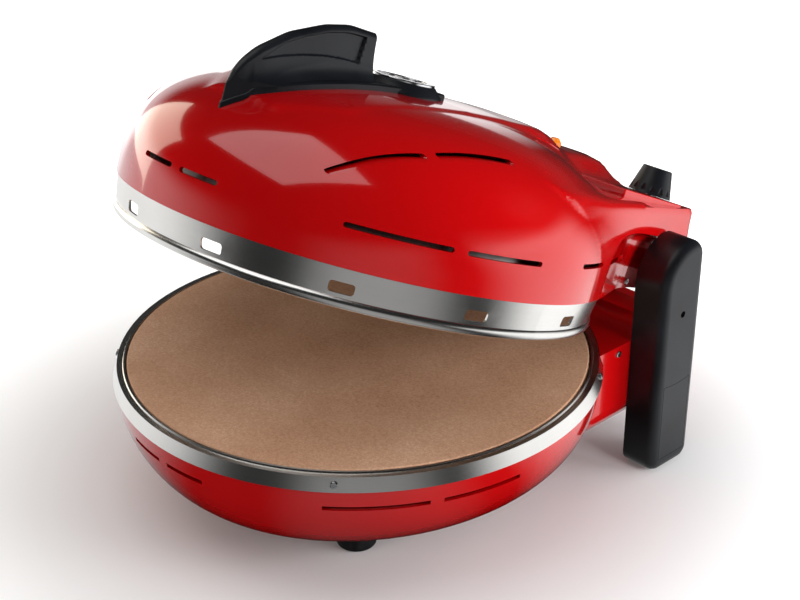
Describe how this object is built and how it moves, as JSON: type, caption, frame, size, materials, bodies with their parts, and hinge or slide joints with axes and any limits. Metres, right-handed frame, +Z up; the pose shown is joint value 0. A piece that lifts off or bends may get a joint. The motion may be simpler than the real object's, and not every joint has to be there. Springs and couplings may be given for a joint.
{
  "type": "countertop electric pizza oven",
  "caption": "Round countertop pizza oven: a stone in a bowl-shaped base under a heated domed lid hinged between two rear arms.",
  "frame": {"origin": "on the worktop, under the middle of the footprint, with the lid at rest", "axes": "+Z up, the lid opens at the front (-Y) and is hinged at the back (+Y), X along the hinge axis"},
  "size_m": [0.3398, 0.3908, 0.3359],
  "materials": {
    "red_housing": "glossy",
    "black_plastic": "satin",
    "steel_trim": "satin",
    "stone": "matt, speckled",
    "bright_aluminium": "mill",
    "zinc_steel": "zinc plated",
    "heater_steel": "heat darkened",
    "screw_steel": "bright",
    "chrome_trim": "polished",
    "glass": "smoked",
    "amber_lens": "faceted, clear",
    "ceramic": "matt",
    "black_rubber": "matt"
  },
  "bodies": {
    "base": {"base_shell": "red_housing", "base_trim_ring": "steel_trim", "pizza_stone": "stone", "heater_pan": "bright_aluminium", "lower_heater": "heater_steel", "lower_heater_clips": "heater_steel", "lower_terminal_block": "ceramic", "bottom_cover": "zinc_steel", "bottom_cover_screws": "screw_steel", "front_feet": "black_rubber", "arm_pads": "black_rubber", "cord_gland": "black_plastic", "right_arm_cover": "black_plastic", "left_arm_cover": "black_plastic", "right_service_panel": "black_plastic", "left_service_panel": "black_plastic", "arm_screws": "screw_steel", "right_hinge_bracket": "zinc_steel", "left_hinge_bracket": "zinc_steel", "right_hinge_pin": "screw_steel", "left_hinge_pin": "screw_steel", "hinge_spacers": "black_plastic", "rim_screws": "screw_steel", "neck_screws": "screw_steel"},
    "lid": {"lid_shell": "red_housing", "lid_skirt_ring": "steel_trim", "upper_reflector": "bright_aluminium", "upper_heater": "heater_steel", "upper_heater_clips": "heater_steel", "lid_neck_cover": "zinc_steel", "upper_terminal_block": "ceramic", "right_lid_hinge_plate": "zinc_steel", "left_lid_hinge_plate": "zinc_steel", "lid_wall_screws": "screw_steel", "handle": "black_plastic", "sight_glass": "glass", "sight_glass_bezel": "chrome_trim", "indicator_lens": "amber_lens", "indicator_lamp": "black_plastic", "thermostat": "black_plastic"},
    "knob": {"thermostat_knob": "black_plastic", "knob_shaft": "screw_steel"}
  },
  "joints": [
    {"name": "lid_hinge", "type": "hinge", "parent": "base", "child": "lid", "pos_m": [0, 0.1525, 0.1461], "axis": [-1, 0, 0], "range_deg": [-20.64, 74]},
    {"name": "thermostat_turn", "type": "hinge", "parent": "lid", "child": "knob", "pos_m": [0.0919, 0.1711, 0.18639], "axis": [0, -0.4315, -0.9021], "range_deg": [0, 270]}
  ]
}
